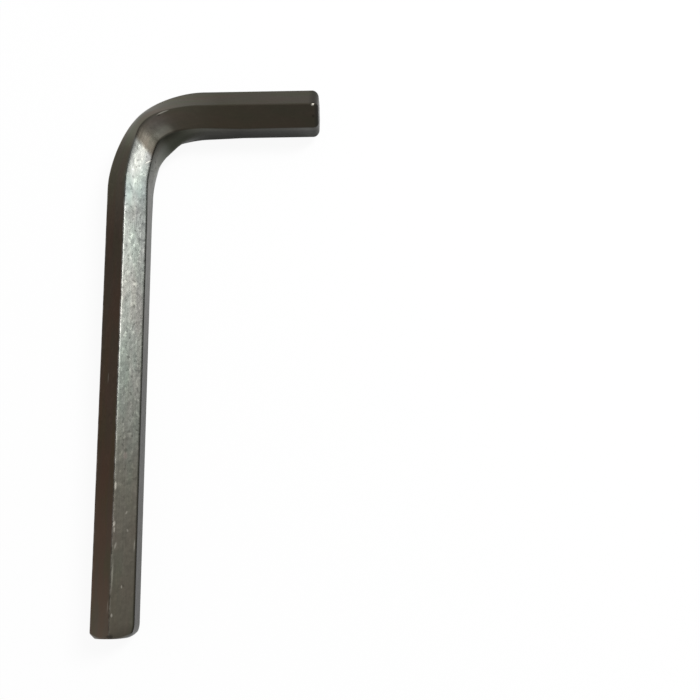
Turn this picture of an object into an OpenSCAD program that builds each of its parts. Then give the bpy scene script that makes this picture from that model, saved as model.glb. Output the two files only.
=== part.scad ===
// Hex key: one bar of hexagon steel, cut off and bent cold into an L.
// It lies flat, as it comes to rest on a bench, with an edge of the hexagon up and a
// flat on the inner side of the bend. The long arm runs along -Y, the short arm along +X.
// The origin is on the bench, below the middle of the key's box, and lengths are in mm.

/* [Bar] */
// Size of the key: distance across two opposite flats of the hexagon
across_flats = 8; // [4:0.5:10]
// Rounding that cold drawing leaves along the six edges of the bar
edge_radius = 0.35; // [0.1:0.05:0.6]

/* [Arms] */
// Long arm, from its end to the outer flat of the short arm
long_arm = 105; // [70:1:200]
// Short arm, from its tip to the outer flat of the long arm
short_arm = 41.5; // [34:0.5:80]

/* [Bend] */
// Every long edge turns the corner on three lines: along one arm, across the corner and
// along the other arm. Its cut is how far the line across lies from the sharp corner, and
// its ease is how softly the lines run together, both in sizes of the key.
// Cut of the two outer edges
outer_cut = 0.94; // [0.8:0.01:1.1]
// Ease of the two outer edges
outer_ease = 0.89; // [0.7:0.01:1]
// Cut of the top and bottom edges, which are pulled outward as the bar is bent
crown_cut = 0.35; // [0.3:0.01:0.6]
// Ease of the top and bottom edges
crown_ease = 1.1; // [0.8:0.01:1.2]
// Cut of the two inner edges, the tightest of all
inner_cut = 0.27; // [0.2:0.01:0.4]
// Ease of the two inner edges
inner_ease = 0.85; // [0.6:0.01:0.9]
// Cut of the middle of the inner flat, which is squeezed out into a cushion
cushion_cut = 0.68; // [0.6:0.01:0.8]
// Ease of the middle of the inner flat
cushion_ease = 0.4; // [0.3:0.01:0.6]
// How much softer the bend runs into the long arm than into the short one
lead = 1.12; // [1:0.01:1.2]
// How much higher the squeezed inner edges stand in the middle of the bend
inner_swell = 0.8; // [0:0.1:1.2]

/* [Ends] */
// Length of the chamfer round the tip of the short arm
tip_chamfer = 0.8; // [0.3:0.1:1.2]
// Length of the chamfer round the end of the long arm
foot_chamfer = 1; // [0.3:0.1:1.5]
// Slope of both chamfers, measured from the bar's axis
chamfer_angle = 45; // [30:5:60]

/* [Hidden] */

// The section of the bar: the first number of a point is outward from the bend, the
// second is up. Corner 0 is the top edge, and the others follow towards the outer side.
EDGE_STEPS = 3;
flat_half = across_flats / 2;
arc_seat = (flat_half - edge_radius) / cos(30);
edge_reach = arc_seat + edge_radius;
function corner_points(k) = [
    for (j = [0:EDGE_STEPS])
        let (a = 60 * (k - 0.5) + 60 * j / EDGE_STEPS)
            arc_seat * [sin(60 * k), cos(60 * k)] + edge_radius * [sin(a), cos(a)]
];

// The inner flat carries some points between its two edges, for the cushion in the bend
FLAT_STEPS = 6;
inner_edge_z = flat_half * tan(30);
land_z = corner_points(5)[0][1];
inner_flat = [for (j = [1:FLAT_STEPS - 1]) [-flat_half, land_z * (2 * j / FLAT_STEPS - 1)]];
section = concat(
    corner_points(0), corner_points(1), corner_points(2), corner_points(3),
    corner_points(4), inner_flat, corner_points(5)
);

// The cut and ease of a point of the section, in mm. Round an edge the paths stay side by
// side, so the cut follows the point's own distance from that edge.
outer_shape = across_flats * [outer_cut, outer_ease];
crown_shape = across_flats * [crown_cut, crown_ease];
inner_shape = across_flats * [inner_cut, inner_ease];
cushion_shape = across_flats * [cushion_cut, cushion_ease];
function cushion_share(z) = max(0, 1 - pow(z / land_z, 2));
function beside(offset) = [(sqrt(2) - 1) * offset, 0];
function bend_shape(p) =
    let (edge = round(atan2(p[0], p[1]) / 60))
        abs(p[1]) < land_z && p[0] < 0
            ? inner_shape + (cushion_shape - inner_shape) * cushion_share(p[1])
            : edge == 0 || abs(edge) == 3
                ? crown_shape + beside(p[0])
                : edge > 0
                    ? outer_shape + beside(p[0] - flat_half)
                    : inner_shape + beside(p[0] + flat_half);

// The bend is a loft of flat rings that fan out round one pivot, far enough inside for
// every path to be straight where the fan ends and the arms start.
BEND_STEPS = 30;
FAN_SHARE = 2.75;
fan = FAN_SHARE * across_flats;

// The lesser of two lengths, with the change from one to the other eased
function soft_least(a, b, ease) =
    let (h = max(ease - abs(a - b), 0) / ease)
        min(a, b) - h * h * ease / 4;

// Distance from the pivot to the path of a point, at angle t of the fan
function reach(p, t) =
    let (
        line = fan + p[0],
        shape = bend_shape(p),
        on_long = line / max(cos(t), 0.001),
        across = (line * sqrt(2) - shape[0]) / cos(t - 45),
        on_short = line / max(sin(t), 0.001)
    )
        soft_least(soft_least(on_long, across, shape[1] * lead), on_short, shape[1] / lead);

// The squeezed inner side stands higher in the middle of the bend
function swell(p, t) = p[0] >= 0 ? 0
    : inner_swell * sin(2 * t) * min(1, -p[0] / flat_half) * p[1] / inner_edge_z;

function ring(t) = [
    for (p = section)
        let (r = reach(p, t)) [fan - r * cos(t), r * sin(t) - fan, p[1] + swell(p, t)]
];

// Lengths of the arms from the point where their axes cross
long_reach = long_arm - flat_half;
short_reach = short_arm - flat_half;

// The bent corner, between the two straight arms
module bend() {
    count = len(section);
    points = [for (i = [0:BEND_STEPS]) each ring(90 * i / BEND_STEPS)];
    sides = [
        for (i = [0:BEND_STEPS - 1], j = [0:count - 1])
            let (
                a = i * count + j,
                b = i * count + (j + 1) % count
            )
                each [[a, b, b + count], [a, b + count, a + count]]
    ];
    first_cap = [[for (j = [count - 1:-1:0]) j]];
    last_cap = [[for (j = [0:count - 1]) BEND_STEPS * count + j]];
    polyhedron(points = points, faces = concat(sides, first_cap, last_cap), convexity = 4);
}

// A round bar along +X with a coned end, which shapes the end of an arm. It stands clear
// of the section's edges, and the cone meets them `chamfer` before the end.
CLEAR = 0.5;
ROUND_FACES = 96;
module coned_bar(start, end, chamfer) {
    bar_r = edge_reach + CLEAR;
    cone_length = chamfer + CLEAR / tan(chamfer_angle);
    nose_r = bar_r - cone_length * tan(chamfer_angle);
    rotate([0, 90, 0]) {
        translate([0, 0, start - CLEAR])
            cylinder(h = end - cone_length - start + CLEAR, r = bar_r, $fn = ROUND_FACES);
        translate([0, 0, end - cone_length])
            cylinder(h = cone_length, r1 = bar_r, r2 = nose_r, $fn = ROUND_FACES);
    }
}

// A straight arm along +X from `start` to `end`, with its outer side towards +Y and its
// end chamfered all round
module arm(start, end, chamfer) {
    intersection() {
        rotate([90, 0, 90])
            translate([0, 0, start])
                linear_extrude(height = end - start)
                    polygon(section);
        coned_bar(start, end, chamfer);
    }
}

module hex_key() {
    color("dimgray")
        translate([(flat_half - short_reach) / 2, (long_reach - flat_half) / 2, edge_reach])
            union() {
                bend();
                arm(fan, short_reach, tip_chamfer);
                rotate([0, 0, -90])
                    mirror([0, 1, 0])
                        arm(fan, long_reach, foot_chamfer);
            }
}

hex_key();
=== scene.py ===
# %% [markdown]
# A hex key, lying on a white table
#
# The key is one bar of hexagon steel, cut off, chamfered at both ends and bent cold into an L.
# It was blackened and oiled. The oxide is nearly black and a little brown, the oil gives it the
# faint shine of varnish, and years of use have rubbed the edges through to bare steel.
#
# Everything here is in metres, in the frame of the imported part: Z is up, the long arm runs along
# -Y and the short arm along +X. The lesson sets up the camera, grows the bar as one mesh with
# Geometry Nodes, gives it a procedural finish, and lays it on a table under one window.

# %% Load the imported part
from math import cos, pi, radians, sin, sqrt, tan

import bmesh
import bpy
from mathutils import Matrix, Vector


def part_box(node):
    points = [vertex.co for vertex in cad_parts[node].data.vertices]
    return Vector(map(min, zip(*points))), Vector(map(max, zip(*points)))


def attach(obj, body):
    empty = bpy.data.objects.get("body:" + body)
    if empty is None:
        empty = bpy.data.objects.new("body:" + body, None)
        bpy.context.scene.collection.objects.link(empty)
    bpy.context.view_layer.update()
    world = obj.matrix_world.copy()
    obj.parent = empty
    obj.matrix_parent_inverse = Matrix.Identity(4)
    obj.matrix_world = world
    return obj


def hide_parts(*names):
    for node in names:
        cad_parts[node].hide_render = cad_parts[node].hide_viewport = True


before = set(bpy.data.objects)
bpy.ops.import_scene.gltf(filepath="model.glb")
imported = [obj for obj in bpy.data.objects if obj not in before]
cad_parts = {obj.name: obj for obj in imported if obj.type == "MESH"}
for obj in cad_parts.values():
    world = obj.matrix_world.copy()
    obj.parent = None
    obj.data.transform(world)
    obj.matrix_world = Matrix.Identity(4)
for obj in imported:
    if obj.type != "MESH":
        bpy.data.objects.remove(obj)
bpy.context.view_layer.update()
bpy.context.scene.view_settings.view_transform = "Standard"
low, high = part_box("hex_key")
print("packed key, mm:", [round(1000 * v, 2) for v in (high - low)])

# %% [markdown]
# The camera comes first, because every later choice is judged through it. It could be aimed by
# eye, but then a wrong angle would hide a wrong length. So a pinhole camera was fitted to the
# outline and the facet lines of the key in the photograph. Its place is counted from the point
# where the axes of the two arms cross.

# %% Set up the camera
MM = 0.001
ACROSS_FLATS = 8 * MM
HALF = ACROSS_FLATS / 2
IMAGE_SIDE = 700
FOCAL_PIXELS = 1000
SENSOR = 36
crossing = Vector((low.x + HALF, high.y - HALF, (low.z + high.z) / 2))

CAMERA_TILT = radians(-12.19)
CAMERA_SWING = radians(-0.55)
CAMERA_ROLL = radians(0.87)
CAMERA_DISTANCE = 201.32 * MM
CROSSING_IN_VIEW = Vector((-43.67, 46.90, 0)) * MM

to_view = (
    Matrix.Rotation(CAMERA_ROLL, 3, "Z")
    @ Matrix.Rotation(CAMERA_SWING, 3, "Y")
    @ Matrix.Rotation(CAMERA_TILT, 3, "X")
)
from_view = to_view.transposed()
eye = crossing + from_view @ (Vector((0, 0, CAMERA_DISTANCE)) - CROSSING_IN_VIEW)

camera = bpy.data.objects.new("camera", bpy.data.cameras.new("camera"))
camera.matrix_world = Matrix.Translation(eye) @ from_view.to_4x4()
camera.data.sensor_width = SENSOR
camera.data.lens = FOCAL_PIXELS / IMAGE_SIDE * SENSOR
camera.data.clip_start = 0.01
bpy.context.scene.collection.objects.link(camera)
bpy.context.scene.camera = camera
print("camera at, mm:", [round(1000 * v) for v in eye], "lens:", round(camera.data.lens, 1))

# %% [markdown]
# Node trees are easier to read as sums than as lists of links. A `Wire` is one output of a node,
# and arithmetic on it adds the Math or Vector Math nodes that the sum needs. Every other node
# comes from `Board.node`, which sets the node's settings first and then its sockets. Both serve
# Geometry Nodes and materials alike, because the Math nodes are the same in both.

# %% A wire: one output of a node, which can stand in a sum
class Wire:
    def __init__(self, board, socket):
        self.board = board
        self.socket = socket

    def math(self, operation, *others):
        return self.board.math(operation, self, *others)

    def __add__(self, other):
        return self.math("ADD", other)

    def __radd__(self, other):
        return self.board.math("ADD", other, self)

    def __sub__(self, other):
        return self.math("SUBTRACT", other)

    def __rsub__(self, other):
        return self.board.math("SUBTRACT", other, self)

    def __mul__(self, other):
        return self.math("MULTIPLY", other)

    def __rmul__(self, other):
        return self.board.math("MULTIPLY", other, self)

    def __truediv__(self, other):
        return self.math("DIVIDE", other)

    def __rtruediv__(self, other):
        return self.board.math("DIVIDE", other, self)

    def __abs__(self):
        return self.math("ABSOLUTE")

    def squared(self):
        return self.math("MULTIPLY", self)

    def least(self, other):
        return self.math("MINIMUM", other)

    def most(self, other):
        return self.math("MAXIMUM", other)

    def clamped(self, bottom, top):
        return self.most(bottom).least(top)

    def ramp(self, start, end, bottom=0.0, top=1.0):
        """From bottom to top, smoothly, as the wire goes from start to end"""
        settings = {"interpolation_type": "SMOOTHSTEP"}
        places = {"From Min": start, "From Max": end, "To Min": bottom, "To Max": top}
        return self.board.node("ShaderNodeMapRange", settings, {"Value": self, **places})

    def band(self, rise, fall):
        """1 between a rise and a fall, each written as its start and its end"""
        return self.ramp(*rise) * (1 - self.ramp(*fall))


# %% A board: a node tree that nodes are added to
class Board:
    def __init__(self, tree):
        self.tree = tree

    def node(self, kind, settings=None, sockets=None, out=None):
        """Add a node, and return its output of that name, or else its first one"""
        new = self.tree.nodes.new(kind)
        settings = dict(settings or {})
        stops = settings.pop("stops", [])
        for name, setting in settings.items():
            setattr(new, name, setting)
        # A new colour ramp already has two stops
        for number, (position, colour) in enumerate(stops):
            if number > 1:
                new.color_ramp.elements.new(position)
            new.color_ramp.elements[number].position = position
            new.color_ramp.elements[number].color = colour
        for key, value in (sockets or {}).items():
            self.feed(self.find(new, key), value)
        outputs = [s for s in new.outputs if s.enabled]
        if out is not None:
            outputs = [s for s in new.outputs if s.name == out]
        return Wire(self, outputs[0])

    def find(self, node, key):
        """An input by number or by name"""
        if isinstance(key, int):
            return node.inputs[key]
        return next(s for s in node.inputs if s.enabled and s.name == key)

    def feed(self, socket, value):
        """Link a wire to a socket, or set the socket's own value"""
        if isinstance(value, Wire):
            self.tree.links.new(value.socket, socket)
        elif socket.type == "VECTOR" and isinstance(value, (int, float)):
            socket.default_value = (value, value, value)
        elif socket.type == "RGBA" and len(value) == 3:
            socket.default_value = (*value, 1)
        else:
            socket.default_value = value

    def math(self, operation, *values):
        """A Math node, or a Vector Math node where a vector takes part"""
        vector = any(isinstance(v, Wire) and v.socket.type == "VECTOR" for v in values)
        kind = "ShaderNodeVectorMath" if vector else "ShaderNodeMath"
        return self.node(kind, {"operation": operation}, dict(enumerate(values)))

    def combine(self, x, y, z):
        return self.node("ShaderNodeCombineXYZ", None, {"X": x, "Y": y, "Z": z})

    def split(self, vector):
        new = self.tree.nodes.new("ShaderNodeSeparateXYZ")
        self.feed(new.inputs[0], vector)
        return [Wire(self, s) for s in new.outputs]


# %% [markdown]
# The bent bar
#
# On the real key the long edges of the bar don't turn round one centre. Bending draws the outer
# flat in, pulls the top and bottom edges outward, crowds the inner edges into a tight corner and
# squeezes the inner flat out into a cushion. So each edge runs on three lines: along one arm,
# across the corner, and along the other arm. Its `cut` is how far the line across lies from the
# sharp corner, and its `ease` is how softly the lines run together.
#
# The bar could be made by sweeping a hexagon along a rounded path, but then every edge would turn
# round one centre, which is what a moulded key looks like. So the sweep is only used to make the
# mesh, along a straight line. Each point keeps two notes: its `section`, which is its place in
# the hexagon, and its `station`, which is how far along the bar it lies. A rule then puts every
# point in place from those two, so the whole shape hangs on a few sizes.

# %% Driving sizes of the key
SIZES = {
    "Across flats": ACROSS_FLATS,
    "Edge radius": 0.35 * MM,
    "Outer cut": 0.94 * ACROSS_FLATS,
    "Outer ease": 0.89 * ACROSS_FLATS,
    "Crown cut": 0.35 * ACROSS_FLATS,
    "Crown ease": 1.1 * ACROSS_FLATS,
    "Inner cut": 0.27 * ACROSS_FLATS,
    "Inner ease": 0.85 * ACROSS_FLATS,
    "Cushion cut": 0.68 * ACROSS_FLATS,
    "Cushion ease": 0.45 * ACROSS_FLATS,
    "Lead": 1.12,
    "Inner swell": 0.8 * MM,
    "Tip chamfer": 0.8 * MM,
    "Tip round": 1.3 * MM,
    "Foot chamfer": 1.0 * MM,
    "Foot round": 0.35 * MM,
    "Heel length": 2.5 * MM,
    "Heel cut": 1.5 * MM,
}
print("driving sizes:", len(SIZES))

# %% Sizes that follow from them
# The rounding of an edge: how far its centre and its surface lie from the axis
arc_seat = (HALF - SIZES["Edge radius"]) / cos(radians(30))
edge_reach = arc_seat + SIZES["Edge radius"]
# The inner flat: half its width without the rounding, and half its width with it
land = arc_seat * sin(radians(30))
flat_reach = HALF * tan(radians(30))
# The arms, from the crossing of their axes
long_reach = crossing.y - low.y
short_reach = high.x - crossing.x
print("arms, mm:", round(1000 * long_reach, 2), round(1000 * short_reach, 2))

# %% Where the bend starts and how long the bar is
FAN_SHARE = 2.75
fan = FAN_SHARE * ACROSS_FLATS
bend_start = long_reach - fan
bend_run = fan * pi / 2
bend_end = bend_start + bend_run
bar_run = bend_end + short_reach - fan
print("bend, mm:", round(1000 * bend_start, 2), "to", round(1000 * bend_end, 2),
      "of", round(1000 * bar_run, 2))

# %% [markdown]
# A ring of points lies wherever the bar needs one: thinly along the straight arms, closely round
# the rims and through the bend. On the two end faces the rings shrink to the middle, because a
# flat cap of one many-sided face would blend the notes of its rim in triangles.

# %% Rings along the bar
RIM_ZONE = 0.3 * MM
END_ZONE = 2.6 * MM
FACE_RINGS = 10
ZONES = [
    (0, FACE_RINGS),
    (RIM_ZONE, 12),
    (END_ZONE - RIM_ZONE, 18),
    (bend_start - END_ZONE, 180),
    (bend_run, 120),
    (short_reach - fan - END_ZONE, 36),
    (END_ZONE - RIM_ZONE, 18),
    (RIM_ZONE, 12),
    (0, FACE_RINGS),
]
ring_count = 1 + sum(count for length, count in ZONES)
print("rings:", ring_count)


def station_of(index):
    """Distance along the bar of the ring with that index"""
    distance, first = 0, 0
    for length, count in ZONES:
        distance = (index - first).clamped(0, count) * (length / count) + distance
        first += count
    return distance


def spread_of(index):
    """From nearly 0 in the middle of an end face to 1 at its rim, and 1 along the bar"""
    from_foot = index / FACE_RINGS
    from_tip = (ring_count - 1 - index) / FACE_RINGS
    return from_foot.least(from_tip).clamped(0.01, 1)


# %% [markdown]
# The rule works in a fan round one pivot, which lies so far inside the bend that every line is
# straight where the fan ends. At each angle of the fan, a point lies on the nearest of its three
# lines. `Lead` makes the bend run more softly into the long arm, where the tool let go of it last,
# and `Inner swell` lifts the crowded inner edges.

# %% The rule that bends the bar
ALMOST_ZERO = 0.001


def soft_least(a, b, ease):
    """The lesser of two lengths, with the change from one to the other eased"""
    closeness = (1 - abs(a - b) / ease).most(0)
    return a.least(b) - closeness.squared() * ease / 4


def bend_shape(outward, up, size):
    """The cut and the ease of a point of the section, and how far inside it lies"""
    outer = (outward / HALF).clamped(0, 1)
    inner = (outward / -HALF).clamped(0, 1)
    cushion = inner * (1 - (up / land).squared()).most(0)
    shares = {
        "Outer": outer,
        "Crown": 1 - outer - inner,
        "Inner": inner - cushion,
        "Cushion": cushion,
    }
    cuts = [share * size[edge + " cut"] for edge, share in shares.items()]
    eases = [share * size[edge + " ease"] for edge, share in shares.items()]
    return sum(cuts[1:], cuts[0]), sum(eases[1:], eases[0]), inner


def turned(board, section, station, size):
    """The place of a point of the bar, from its section and station"""
    outward, up, _ = board.split(section)
    along_long = (bend_start - station).most(0)
    along_short = (station - bend_end).most(0)
    angle = ((station - bend_start) / bend_run).clamped(0, 1) * (pi / 2)
    sine, cosine = angle.math("SINE"), angle.math("COSINE")

    cut, ease, inner = bend_shape(outward, up, size)
    line = outward + fan
    on_long = line / cosine.most(ALMOST_ZERO)
    across = (line * sqrt(2) - cut) / (angle - pi / 4).math("COSINE")
    on_short = line / sine.most(ALMOST_ZERO)
    reach = soft_least(on_long, across, ease * size["Lead"])
    reach = soft_least(reach, on_short, ease / size["Lead"])

    swell = size["Inner swell"] * (2 * angle).math("SINE") * inner
    lifted = up + swell * up / flat_reach
    return board.combine(
        fan - reach * cosine + along_short, reach * sine - fan - along_long, lifted
    )


# %% [markdown]
# Both ends were sheared and then dressed on a wheel. Each has a chamfer all round, which is a cone
# that the section mustn't pass. The rim of the tip is well rounded as well, and the inner side of
# the long arm's end, its foot, was ground away further, like the heel of a shoe. All this could
# be cut with booleans, but the new faces would have lost their notes. So the rings near an end
# are drawn in instead.

# %% Dress the ends
CHAMFER_SLOPE = tan(radians(45))


def rounded_off(depth, length):
    """From 1 at the end of the bar to 0 at that length, as a quarter of a circle"""
    rest = (1 - depth / length).clamped(0, 1)
    return 1 - (1 - rest.squared()).math("SQRT")


def dressed(board, section, station, size):
    """A point of the section, drawn in by the chamfers, the rounded rims and the heel"""
    width = board.node("ShaderNodeVectorMath", {"operation": "LENGTH"}, {0: section}, "Value")
    limit, shrink = edge_reach, 1
    for end, depth in (("Foot", station), ("Tip", bar_run - station)):
        cone = (depth - size[end + " chamfer"]) * CHAMFER_SLOPE + edge_reach
        limit = cone.least(limit)
        rounding = size[end + " round"]
        shrink = (1 - rounded_off(depth, rounding) * rounding / HALF) * shrink
    outward, up, _ = board.split(section * shrink.least(limit / width))
    heel = rounded_off(station, size["Heel length"]) * size["Heel cut"]
    return board.combine(outward + heel * (outward / -HALF).clamped(0, 1), up, 0)


# %% [markdown]
# The hexagon is a circle of six points with its corners filleted. Only the six flats are cut into
# shorter pieces, because the cushion needs points between the inner edges. The circle starts on
# its X axis, so its two axes are swapped when the section is noted: that turns a flat inward.

# %% The section, and the line that it is swept along
EDGE_STEPS = 6
FLAT_CUTS = 13


def stored(board, geometry, name, kind, value):
    """Keep a value on every point, under that name"""
    settings = {"data_type": kind, "domain": "POINT"}
    sockets = {"Geometry": geometry, "Name": name, "Value": value}
    return board.node("GeometryNodeStoreNamedAttribute", settings, sockets)


def noted(board, name, kind):
    """Read the value of that name on every point"""
    settings = {"data_type": kind}
    return board.node("GeometryNodeInputNamedAttribute", settings, {"Name": name})


def hexagon(board, size):
    """Six flats and six rounded edges"""
    sockets = {"Resolution": 6, "Radius": size["Across flats"] / sqrt(3)}
    circle = board.node("GeometryNodeCurvePrimitiveCircle", {"mode": "RADIUS"}, sockets)
    sockets = {"Curve": circle, "Count": EDGE_STEPS, "Radius": size["Edge radius"]}
    rounded = board.node("GeometryNodeFilletCurve", {"mode": "POLY"}, sockets)
    # A flat starts at the last point of each rounded edge
    index = board.node("GeometryNodeInputIndex")
    from_last = abs(index.math("MODULO", EDGE_STEPS + 1) - EDGE_STEPS)
    on_flat = from_last.math("LESS_THAN", 0.5)
    sockets = {"Curve": rounded, "Cuts": on_flat * FLAT_CUTS}
    profile = board.node("GeometryNodeSubdivideCurve", None, sockets)
    x, y, _ = board.split(board.node("GeometryNodeInputPosition"))
    return stored(board, profile, "section", "FLOAT_VECTOR", board.combine(y, x, 0))


def bar_line(board):
    """A straight line with one point for each ring"""
    line = board.node("GeometryNodeCurvePrimitiveLine", None, {"End": (bar_run, 0, 0)})
    sockets = {"Curve": line, "Count": ring_count}
    line = board.node("GeometryNodeResampleCurve", {"mode": "COUNT"}, sockets)
    index = board.node("GeometryNodeInputIndex")
    line = stored(board, line, "station", "FLOAT", station_of(index))
    return stored(board, line, "spread", "FLOAT", spread_of(index))


# %% [markdown]
# The tree sweeps the section, dresses the ends, bends the bar and gives it its material. Its
# named inputs are the driving sizes, so in Blender they would show as sliders on the modifier.
# The modifier only serves to grow the mesh: what stays in the scene is a plain mesh.

# %% The tree: sweep, dress, bend
def key_tree(material):
    tree = bpy.data.node_groups.new("bent_hexagon_bar", "GeometryNodeTree")
    tree.interface.new_socket("Key", in_out="OUTPUT", socket_type="NodeSocketGeometry")
    for name in SIZES:
        tree.interface.new_socket(name, in_out="INPUT", socket_type="NodeSocketFloat")
    board = Board(tree)
    inputs = tree.nodes.new("NodeGroupInput")
    size = {name: Wire(board, inputs.outputs[name]) for name in SIZES}

    sockets = {"Curve": bar_line(board), "Profile Curve": hexagon(board, size)}
    bar = board.node("GeometryNodeCurveToMesh", None, {**sockets, "Fill Caps": True})
    station = noted(board, "station", "FLOAT")
    section = dressed(board, noted(board, "section", "FLOAT_VECTOR"), station, size)
    section = section * noted(board, "spread", "FLOAT")
    place = turned(board, section, station, size) + tuple(crossing)
    bar = board.node("GeometryNodeSetPosition", None, {"Geometry": bar, "Position": place})
    bar = board.node("GeometryNodeRealizeInstances", None, {"Geometry": bar})
    bar = board.node("GeometryNodeSetMaterial", None, {"Geometry": bar, "Material": material})
    output = tree.nodes.new("NodeGroupOutput")
    tree.links.new(bar.socket, output.inputs[0])
    print("tree:", len(tree.nodes), "nodes")
    return tree


def grown(name, tree):
    """A plain mesh of what the tree makes"""
    seed = bpy.data.objects.new(name + "_seed", bpy.data.meshes.new(name))
    bpy.context.scene.collection.objects.link(seed)
    modifier = seed.modifiers.new("grow", "NODES")
    modifier.node_group = tree
    for item in tree.interface.items_tree:
        if item.in_out == "INPUT":
            modifier[item.identifier] = SIZES[item.name]
    graph = bpy.context.evaluated_depsgraph_get()
    mesh = bpy.data.meshes.new_from_object(seed.evaluated_get(graph))
    piece = bpy.data.objects.new(name, mesh)
    bpy.context.scene.collection.objects.link(piece)
    bpy.data.objects.remove(seed)
    return piece


# %% Grow the key
finish = bpy.data.materials.new("black_oxide_steel")
key = grown("hex_key_bar", key_tree(finish))
work = bmesh.new()
work.from_mesh(key.data)
if work.calc_volume(signed=True) < 0:
    bmesh.ops.reverse_faces(work, faces=work.faces)
for face in work.faces:
    face.smooth = len(face.verts) == 4
open_edges = sum(not edge.is_manifold for edge in work.edges)
print("key:", len(work.faces), "faces,", open_edges, "open edges,",
      round(work.calc_volume() * 1e9), "mm3")
work.to_mesh(key.data)
work.free()

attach(key, "root")
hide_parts("hex_key")

# %% [markdown]
# The blackened finish
#
# Black oxide is a skin a thousandth of a millimetre thick, and the steel under it keeps its own
# surface: the grain that the pickling bath leaves, the lines of the drawing die, and the pits and
# scratches of use. An oiled skin sends back a few hundredths of the light, like varnish, and
# swallows the rest, so it is written as a metal with a very dark colour. The colour is never
# even. It is brown where the skin is thin, greenish grey where hands have polished it, and pale
# where the bending tool rubbed it. Painted light lies in it as well: a painted sheen of the
# window, brightest just before the bending tool's line, a few painted glints, and painted shade
# along the inner edges and on the inner flats. Along the edges it is worn through to the steel.
#
# The patterns could be laid on in space, but then they would cut straight through the bend. They
# are laid on the flattened bar instead, by the notes that every point has kept. On it one axis is
# the station and the other runs round the bar, both in mm. In the cells that follow, the numbers
# given to a `ramp` or `band` of the station are mm from the foot.

# %% Where a point lies on the bar
# Radius of the bar in mm, as a mean and at the edges
ROUND_SCALE = 4.2
EDGE_SCALE = 4.62
# The stretch of the bend in which the long arm's skin gives way to the short arm's
SHORT_ARM = (bend_start / MM + 19, bend_end / MM - 10)
print("short arm's skin from, mm:", [round(v, 1) for v in SHORT_ARM])


def bar_places(board):
    """Masks and lengths that say where on the bar a point lies, in mm"""
    section = board.node("ShaderNodeAttribute", {"attribute_name": "section"}, out="Vector")
    station = board.node("ShaderNodeAttribute", {"attribute_name": "station"}, out="Fac") / MM
    spread = board.node("ShaderNodeAttribute", {"attribute_name": "spread"}, out="Fac")
    outward, up, _ = board.split(section)
    outward, up = outward / MM, up / MM
    around = up.math("ARCTAN2", outward)
    # 0 at the outer edges of the hexagon, 1 at its top and bottom edges, 2 at the inner edges
    corner = abs(around) / radians(60) - 0.5
    from_edge = abs(corner - corner.math("ROUND")) * radians(60)
    return {
        "station": station,
        "up": up,
        "corner": corner,
        "flat": board.combine(station, around * ROUND_SCALE, 0),
        "outer": 1 - corner.ramp(0.94, 1.03),
        "inner": corner.ramp(1.97, 2.03),
        "short": station.ramp(*SHORT_ARM),
        "edge": from_edge * EDGE_SCALE,
        "face": 1 - spread.ramp(0.95, 0.999),
        "across": board.combine(outward * spread, up * spread, 0),
    }


# %% Colours that mix, tint and wander
def mixed(board, share, a, b):
    """Colour b where share is 1, colour a where it is 0"""
    settings = {"data_type": "RGBA"}
    return board.node("ShaderNodeMix", settings, {"Factor": share, "A": a, "B": b})


def tinted(board, share, colour, tint):
    """The colour, multiplied by the tint where share is 1"""
    settings = {"data_type": "RGBA", "blend_type": "MULTIPLY"}
    return board.node("ShaderNodeMix", settings, {"Factor": share, "A": colour, "B": tint})


def noise(board, vector, scale, detail, rough, seed):
    """Smooth noise round 0.5, shifted by the seed"""
    shifted = vector + (seed * 7.3, seed * 3.1, seed * 5.7)
    sockets = {"Vector": shifted, "Scale": scale, "Detail": detail, "Roughness": rough}
    return board.node("ShaderNodeTexNoise", {"noise_dimensions": "3D"}, sockets, out="Fac")


# %% [markdown]
# The skin's colour changes slowly along the bar, and differently on the outer facets, on the side
# facets, and on the inner flat. Each gets a ramp with a few stops by station. The long arm is
# brown at its end and grey towards the bend. The ramps also hold painted light: a painted sheen of
# the window that grows towards the bend on the side facets and the inner flat and lies on the
# outer facets in the bend, and painted shade on the inner flat towards the foot, where it mirrors
# the shaded table. A sharp line across the bar is where the bending tool held it, and where the
# painted
# sheen ends: before it the skin is rubbed pale and painted bright, and after it the bent steel is
# dark. One colour with noise over it would be quicker, but it would lose these slow changes, by
# which the eye tells blackened steel from paint.

# %% What the skin reflects along the bar, by facet, with painted sheen and shade
# The station in mm of the bending tool's line, which is also where the painted sheen of the window
# ends
TOOL_LINE_AND_SHEEN_END = 93
# Each list mixes the oxide's own colour with painted sheen towards the bend and, on the inner
# flat, painted shade towards the foot
OUTER_SKIN_AND_SHEEN = [
    (0, (0.074, 0.060, 0.046)), (12, (0.058, 0.043, 0.032)), (30, (0.045, 0.030, 0.021)),
    (75, (0.036, 0.027, 0.020)), (91, (0.060, 0.053, 0.040)), (94, (0.110, 0.105, 0.085)),
    (99, (0.112, 0.103, 0.088)), (110, (0.063, 0.055, 0.043)), (127, (0.066, 0.058, 0.047)),
    (128.4, (0.030, 0.027, 0.022)),
]
SIDE_SKIN_AND_SHEEN = [
    (0, (0.060, 0.054, 0.042)), (25, (0.057, 0.054, 0.045)), (40, (0.063, 0.066, 0.059)),
    (75, (0.062, 0.065, 0.060)), (84, (0.037, 0.040, 0.039)), (89, (0.065, 0.067, 0.063)),
    (92.8, (0.072, 0.074, 0.069)), (93.4, (0.018, 0.016, 0.013)), (96, (0.025, 0.023, 0.019)),
    (98, (0.050, 0.046, 0.040)), (101, (0.043, 0.038, 0.029)), (108, (0.036, 0.030, 0.022)),
    (128.2, (0.031, 0.027, 0.020)), (128.8, (0.020, 0.019, 0.017)),
]
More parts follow.
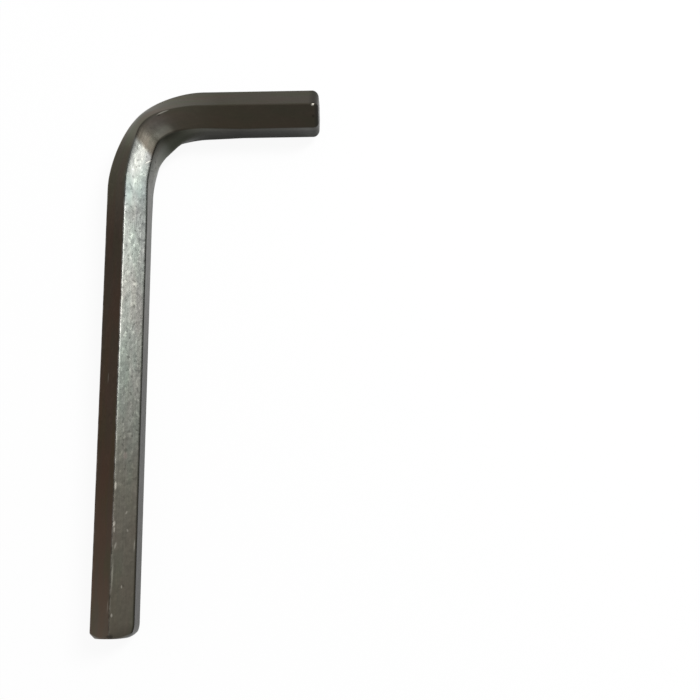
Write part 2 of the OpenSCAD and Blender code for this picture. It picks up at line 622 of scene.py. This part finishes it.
INNER_SKIN_AND_SHEEN = [
    (0, (0.016, 0.015, 0.013)), (50, (0.024, 0.024, 0.021)), (68, (0.100, 0.101, 0.096)),
    (84, (0.110, 0.112, 0.106)), (92, (0.190, 0.196, 0.180)), (97, (0.040, 0.042, 0.033)),
    (113, (0.016, 0.015, 0.012)), (127, (0.038, 0.038, 0.035)), (128.4, (0.020, 0.020, 0.018)),
]


def along(board, station, skin):
    """The skin's colour at a station, painted sheen included, from a list of places in mm and
    colours
    """
    stops = [(place / (bar_run / MM), (*colour, 1)) for place, colour in skin]
    share = station / (bar_run / MM)
    return board.node("ShaderNodeValToRGB", {"stops": stops}, {"Fac": share}, out="Color")


def side_colour(board, station, corner):
    """The skin of the side facets, with its painted sheen, which changes most about the tool's
    line
    """
    # The line lies a little askew
    skew = (corner - 1.2) * 0.9 * station.band((85, 90), (96, 100))
    side = along(board, station + skew, SIDE_SKIN_AND_SHEEN)
    # Before the line the facet is palest along the top edge, apart from one stretch
    palest = station.band((50, 66), (TOOL_LINE_AND_SHEEN_END - 0.8, TOOL_LINE_AND_SHEEN_END + 0.2))
    palest = palest * (1 - station.band((77, 80), (84, 88)) * 0.9)
    side = tinted(board, palest * corner.ramp(1.30, 1.90), side, (0.74, 0.74, 0.76))
    # After it a pale painted sheen lies along the top edge, where the steel is stretched, and then
    # along the crowded inner edge
    top_sheen_in_bend = station.band((TOOL_LINE_AND_SHEEN_END - 0.3, TOOL_LINE_AND_SHEEN_END + 0.4), (TOOL_LINE_AND_SHEEN_END + 2, TOOL_LINE_AND_SHEEN_END + 5))
    side = tinted(board, top_sheen_in_bend * (1 - corner.ramp(1.1, 1.6)), side, (1.7, 1.7, 1.7))
    inner_sheen_in_bend = station.band((95, 97), (98.6, 99.9))
    return tinted(board, inner_sheen_in_bend * corner.ramp(1.4, 1.9), side, (1.9, 1.95, 1.95))


def skin_and_sheen_colour(board, place):
    """The oxide skin before any wear, with its painted sheen and painted shade"""
    station, corner, up = place["station"], place["corner"], place["up"]
    side = side_colour(board, station, corner)
    colour = mixed(board, place["outer"], side, along(board, station, OUTER_SKIN_AND_SHEEN))
    colour = mixed(board, place["inner"], colour, along(board, station, INNER_SKIN_AND_SHEEN))
    # Painted shade lies along the inner edges of the long arm, widest at its two ends
    reach = station.ramp(12, 24, 2.25, 2.12) + station.ramp(80, 87, 0.0, 0.14)
    inner_edge_shade = corner.band((1.92, 1.96), (1.99, reach)) * (1 - place["short"])
    colour = tinted(board, inner_edge_shade * 0.85, colour, (0.42, 0.42, 0.40))
    # The inner flat of the short arm is darker below and paler under its upper edge: painted shade
    # where it mirrors the shaded table, and a painted sheen
    short_inner = place["short"] * place["inner"]
    colour = tinted(board, short_inner * up.ramp(1.6, -1.6), colour, (0.55, 0.55, 0.52))
    return tinted(board, short_inner * up.ramp(0.6, 1.8), colour, (1.7, 1.7, 1.7))


# %% [markdown]
# Dried oil leaves faint patches of green, mauve, rust and olive, drawn out along the bar. They
# could be one noise with a ramp of colours, but each comes and goes by itself on the real skin,
# so each is a noise of its own that tints what lies under it.

# %% Patches of dried oil
PATCHES = [
    # along, round, from, to, seed, tint, share on the side facets
    (0.12, 0.40, 0.46, 0.66, 1, (0.96, 1.01, 0.99), 1.0),
    (0.14, 0.36, 0.48, 0.68, 2, (1.03, 0.99, 1.00), 1.0),
    (0.07, 0.55, 0.45, 0.62, 11, (1.08, 0.98, 0.94), 0.2),
    (0.09, 0.60, 0.48, 0.64, 12, (0.95, 1.03, 0.93), 0.2),
]
print("kinds of patch:", len(PATCHES))


def patched(board, place, colour):
    """The colour with faint patches, less on the side facets for some"""
    for along_bar, round_bar, start, end, seed, tint, share in PATCHES:
        cloud = noise(board, place["flat"] * (along_bar, round_bar, 1), 1.0, 1.5, 0.5, seed)
        where = place["outer"] * (1 - share) + share
        colour = tinted(board, cloud.ramp(start, end) * where, colour, tint)
    return colour


# %% [markdown]
# The hand that holds the key polishes the side facets of the long arm. There the steel's grain
# shows: pale flecks where the skin is worn off the high spots, and dark pits between them. The
# grain is painted strongest from the middle of the long arm up to the bending tool's line, where
# the window's sheen lies, so the flecks are partly a painted sparkle. One noise could draw both,
# but then a pit would lie beside every fleck. So each has a noise of its own, of which only the
# highest values count, and that keeps them sparse.

# %% Flecks, pits and grain
GRAIN = {
    # stretch along and round the bar, scale, detail, seed, from, to, tint
    "cloud": ((0.50, 0.9, 1), 0.9, 2, 8, 0.40, 0.60, (1.10, 1.10, 1.09)),
    "fleck": ((0.65, 1.0, 1), 1.5, 1, 3, 0.61, 0.68, (1.42, 1.42, 1.40)),
    "pit": ((0.80, 1.0, 1), 1.5, 1, 9, 0.61, 0.68, (0.66, 0.66, 0.66)),
    "fine": ((0.50, 1.0, 1), 3.0, 1, 14, 0.35, 0.65, (0.89, 0.89, 0.89)),
}
print("layers of grain:", ", ".join(GRAIN))


def handled_and_sparkling(place):
    """How much hands have polished the bar, with a painted sparkle where the window's sheen lies:
    most on the long arm's side facets
    """
    share = place["station"].ramp(18, 40, 0.2, 1.0)
    share = share * (1 - place["station"].ramp(TOOL_LINE_AND_SHEEN_END - 0.6, TOOL_LINE_AND_SHEEN_END + 1, 0.0, 0.9))
    return share * (1 - place["outer"] * 0.75)


def grained(board, place, colour):
    """The colour with its grain, and the height of the grain"""
    polish_and_sparkle = handled_and_sparkling(place)
    level = {}
    for name, (stretch, scale, detail, seed, start, end, tint) in GRAIN.items():
        level[name] = noise(board, place["flat"] * stretch, scale, detail, 0.5, seed)
        colour = tinted(board, level[name].ramp(start, end) * polish_and_sparkle, colour, tint)
    height = ((level["fleck"] - level["pit"]) * 0.2 + level["cloud"] * 0.5) * polish_and_sparkle
    return colour, height


# %% [markdown]
# The edges are worn through in thin ragged lines. The top and bottom edges of the long arm are
# bright near the bend and dull at the foot, and the outer edges, which slide over the bench, are
# bright all along. The outer flat between them carries hairlines and rubs. Pointiness could find
# the edges, but it needs a fine mesh and can't tell one edge from another. The notes can.

# %% Worn edges and hairlines
BARE_STEEL = (0.60, 0.58, 0.55)


def worn(board, place, colour):
    """Thin ragged lines of bare steel along the edges"""
    station, corner = place["station"], place["corner"]
    ragged = noise(board, place["flat"] * (0.30, 1, 1), 1.9, 4, 0.75, 4)
    crown = (1 - abs(corner - 1).ramp(0.0, 0.06)) * (1 - station.ramp(80, 88))
    dull = crown * (1 - station.ramp(12, 45)) * ragged.ramp(0.62, 0.42)
    colour = tinted(board, dull, colour, (0.62, 0.61, 0.61))
    outer_edge = (1 - abs(corner).ramp(0.0, 0.08)) * station.ramp(84, 104, 0.34, 0.10)
    thin = 1 - (place["edge"] / ragged.ramp(0.35, 0.7, 0.12, 0.36)).ramp(0.3, 1.3)
    share = crown * station.ramp(10, 60, 0.05, 0.22) + outer_edge
    return mixed(board, thin * share * ragged.ramp(0.38, 0.62), colour, BARE_STEEL)


def scuffed(board, place, colour):
    """Hairlines and rubs on the outer flat, and faintly beside it"""
    lines = noise(board, place["flat"] * (0.10, 4.0, 1), 1.6, 2, 0.6, 17).ramp(0.58, 0.68)
    rubs = noise(board, place["flat"] * (0.25, 0.5, 1), 1.0, 3, 0.6, 18).ramp(0.50, 0.66)
    outer_flat = place["corner"].ramp(-0.15, 0.25, 1.0, 0.12)
    colour = tinted(board, lines * outer_flat, colour, (1.45, 1.43, 1.40))
    return tinted(board, rubs * outer_flat, colour, (1.25, 1.25, 1.24))


# %% [markdown]
# The marks of use are few, and a noise would scatter them evenly, so each is written with its
# place: dots where an edge was struck, pits, and short scratches. Three pale spots on the long
# arm's side facet and one on the worn corner of the tip are painted glints, and the dark spot at
# the foot's end is painted shadow.

# %% The marks of use
PALE, ROSY, DARK = (0.45, 0.43, 0.38), (0.22, 0.16, 0.15), (0.008, 0.007, 0.006)
MARKS = [
    # station, round the bar, half length, half width, lean, colour, strength
    (26.9, 6.85, 0.8, 0.16, 0.0, PALE, 0.27), (20.1, 6.85, 0.5, 0.20, 0.1, PALE, 0.26),
    (19.0, 6.90, 0.5, 0.14, 0.0, PALE, 0.20), (16.2, 7.15, 0.6, 0.16, 0.2, PALE, 0.16),
    (11.0, 6.85, 2.6, 0.12, 0.02, PALE, 0.12), (4.1, 6.95, 0.35, 0.16, 0.0, PALE, 0.26),
    # Both marks on the next line are painted glints on the side facet
    (22.1, 9.00, 0.30, 0.18, 0.3, PALE, 0.14), (18.9, 9.31, 0.30, 0.18, -0.3, PALE, 0.14),
    # The first mark on the next line is a painted glint on the side facet
    (9.0, 8.53, 0.30, 0.15, 0.0, PALE, 0.22), (16.2, 10.62, 1.1, 0.10, 0.04, PALE, 0.15),
    (5.6, 6.22, 1.2, 0.09, 0.05, PALE, 0.15), (32.4, 8.43, 0.7, 0.45, 0.0, ROSY, 0.13),
    (47.0, 4.30, 1.0, 0.10, 0.05, PALE, 0.13), (31.5, 9.44, 0.25, 0.22, 0.0, DARK, 0.26),
    (9.2, 8.80, 0.25, 0.22, 0.0, DARK, 0.26), (99.7, 6.78, 1.1, 0.13, -0.12, PALE, 0.30),
    (98.9, 7.05, 0.30, 0.16, 0.0, DARK, 0.5), (90.7, 10.20, 0.8, 0.12, 0.7, DARK, 0.2),
    (91.1, 10.50, 0.8, 0.10, 0.7, PALE, 0.17), (88.4, 8.30, 0.35, 0.18, 0.0, DARK, 0.2),
    # The first mark on the next line is a painted glint on the worn corner of the tip
    (127.9, 6.75, 0.30, 0.22, 0.0, PALE, 0.5), (128.0, 8.90, 0.25, 0.35, 0.0, DARK, 0.5),
    # The first mark on the next line is painted shadow at the foot's end
    (0.4, 6.70, 0.35, 0.75, 0.0, DARK, 0.6), (88.9, 7.60, 0.30, 0.20, 0.0, DARK, 0.2),
    (66.0, -8.2, 1.4, 0.12, 0.3, PALE, 0.2), (41.0, -9.4, 0.9, 0.12, -0.4, PALE, 0.2),
]
print("marks of use:", len(MARKS))


def marked(board, flat, mark, colour):
    """A soft oval in another colour"""
    station, round_bar, length, width, lean, paint, strength = mark
    x, y, _ = board.split(flat)
    x, y = x - station, y - round_bar
    distance = (x / length).squared() + ((y - x * lean) / width).squared()
    return mixed(board, distance.ramp(0.0, 1.5, strength, 0.0), colour, paint)


# %% [markdown]
# The colour is built up in the order in which the real skin got it: the oxide, the oil, the hand,
# the bench. The end faces were cut through all of it and show the lines of the wheel. The same
# noises also raise the surface by hundredths of a millimetre, so that the flecks catch the light.

# %% Mix the finish
CUT_STEEL = (0.058, 0.052, 0.042)
# What the oil film leaves of a reflection at a glancing angle
OIL_TINT = (0.88, 0.88, 0.87, 1)
BUMP_HEIGHT = 0.025 * MM


def black_oxide(material):
    material.use_nodes = True
    board = Board(material.node_tree)
    shader = material.node_tree.nodes["Principled BSDF"]
    shader.inputs["Metallic"].default_value = 1.0
    shader.inputs["Specular Tint"].default_value = OIL_TINT
    place = bar_places(board)
    flat, face = place["flat"], place["face"]

    colour = patched(board, place, skin_and_sheen_colour(board, place))
    colour, grain = grained(board, place, colour)
    colour = worn(board, place, scuffed(board, place, colour))
    for mark in MARKS:
        colour = marked(board, flat, mark, colour)
    wheel_lines = noise(board, place["across"] * (0.25, 3.0, 1), 1.5, 3, 0.6, 21)
    cut_skin = tinted(board, wheel_lines.ramp(0.38, 0.62), CUT_STEEL, (0.6, 0.6, 0.6))
    board.feed(shader.inputs["Base Color"], mixed(board, face, colour, cut_skin))

    roughness = noise(board, flat * (0.4, 1, 1), 1.2, 3, 0.6, 5) * 0.12 + 0.27
    board.feed(shader.inputs["Roughness"], roughness)

    dents = noise(board, flat, 0.8, 1, 0.5, 6) * 0.9
    die_lines = noise(board, flat * (0.06, 3.0, 1), 1.0, 2, 0.5, 7) * 0.25
    height = (grain + dents + die_lines) * (1 - face) + wheel_lines * face * 2.0
    sockets = {"Strength": 1.0, "Distance": BUMP_HEIGHT, "Height": height}
    board.feed(shader.inputs["Normal"], board.node("ShaderNodeBump", None, sockets))
    print("finish:", len(material.node_tree.nodes), "nodes")


black_oxide(finish)

# %% [markdown]
# The table is a pale sheet. To the camera it has to be white, and away from the key it is nothing
# else. Near the key a little of the sheet itself is mixed in, so that the key keeps its shadow. In
# the steel's reflections more of the sheet shows, because the real sheet is shaded close to the
# key, and a mirror of pure white would leave the inner flats too bright. Stronger lamps could
# make it white as well, but they would bleach the steel.

# %% The table
TABLE_HALF = 3.0
table = bpy.data.objects.new("table", bpy.data.meshes.new("table"))
bpy.context.scene.collection.objects.link(table)
corners = [(x * TABLE_HALF, y * TABLE_HALF, 0) for x, y in ((-1, -1), (1, -1), (1, 1), (-1, 1))]
table.data.from_pydata(corners, [], [(0, 1, 2, 3)])
print("table, m:", 2 * TABLE_HALF)

# %% The table's white
SHEET = (0.66, 0.66, 0.66)
WHITE_TO_CAMERA = 0.93
WHITE_IN_STEEL = 0.4
# Distances from the key in metres, between which the table turns pure white
NEAR, FAR = 0.10, 0.30


def ray(board, *kinds):
    """1 for a ray of any of those kinds"""
    path = board.tree.nodes.new("ShaderNodeLightPath")
    wires = [Wire(board, path.outputs[kind]) for kind in kinds]
    return sum(wires[1:], wires[0])


white = bpy.data.materials.new("white_table")
white.use_nodes = True
white.node_tree.nodes.remove(white.node_tree.nodes["Principled BSDF"])
board = Board(white.node_tree)
sheet = board.node("ShaderNodeBsdfDiffuse", None, {"Color": SHEET})
glow = board.node("ShaderNodeEmission", None, {"Color": (1, 1, 1), "Strength": 1.0})
spot = board.node("ShaderNodeTexCoord", out="Object")
away = board.node("ShaderNodeVectorMath", {"operation": "LENGTH"}, {0: spot}, "Value")
share = ray(board, "Is Camera Ray") * away.ramp(NEAR, FAR, WHITE_TO_CAMERA, 1.0)
share = share + ray(board, "Is Glossy Ray", "Is Transmission Ray") * WHITE_IN_STEEL
surface = board.node("ShaderNodeMixShader", None, {"Fac": share.least(1), 1: sheet, 2: glow})
board.feed(white.node_tree.nodes["Material Output"].inputs["Surface"], surface)
table.data.materials.append(white)
print("table:", len(white.node_tree.nodes), "nodes")

# %% [markdown]
# The room is white to the camera and in the steel, and dimmer as a source of light. The window is
# tall and narrow, because that is what the facets of the real key show: the side facets of the
# long arm brighten steadily towards the bend, and the brightest place is where the bend starts.
# One big soft lamp would be simpler, but it would light all the facets alike.

# %% The room
ROOM_LEVEL = 0.55
world = bpy.data.worlds.new("room")
bpy.context.scene.world = world
world.use_nodes = True
board = Board(world.node_tree)
seen = ray(board, "Is Camera Ray", "Is Glossy Ray", "Is Transmission Ray").least(1)
backdrop = world.node_tree.nodes["Background"]
backdrop.inputs["Color"].default_value = (1, 1, 1, 1)
board.feed(backdrop.inputs["Strength"], seen * (1 - ROOM_LEVEL) + ROOM_LEVEL)
print("room:", len(world.node_tree.nodes), "nodes")

# %% The window
WINDOW_AZIMUTH = radians(30)
WINDOW_ELEVATION = radians(54)
WINDOW_DISTANCE = 0.6
WINDOW_WIDTH, WINDOW_HEIGHT = 0.15, 0.28
WINDOW_RADIANCE = 32
WINDOW_TARGET = crossing + Vector((0, -20 * MM, 0))

light = bpy.data.lights.new("window", "AREA")
light.shape = "RECTANGLE"
light.size = WINDOW_WIDTH
light.size_y = WINDOW_HEIGHT
light.energy = WINDOW_RADIANCE * pi * WINDOW_WIDTH * WINDOW_HEIGHT
window = bpy.data.objects.new("window", light)
direction = Vector((
    cos(WINDOW_AZIMUTH) * cos(WINDOW_ELEVATION),
    sin(WINDOW_AZIMUTH) * cos(WINDOW_ELEVATION),
    sin(WINDOW_ELEVATION),
))
window.location = WINDOW_TARGET + direction * WINDOW_DISTANCE
window.rotation_euler = direction.to_track_quat("Z", "Y").to_euler()
bpy.context.scene.collection.objects.link(window)
print("window at, mm:", [round(1000 * v) for v in window.location])
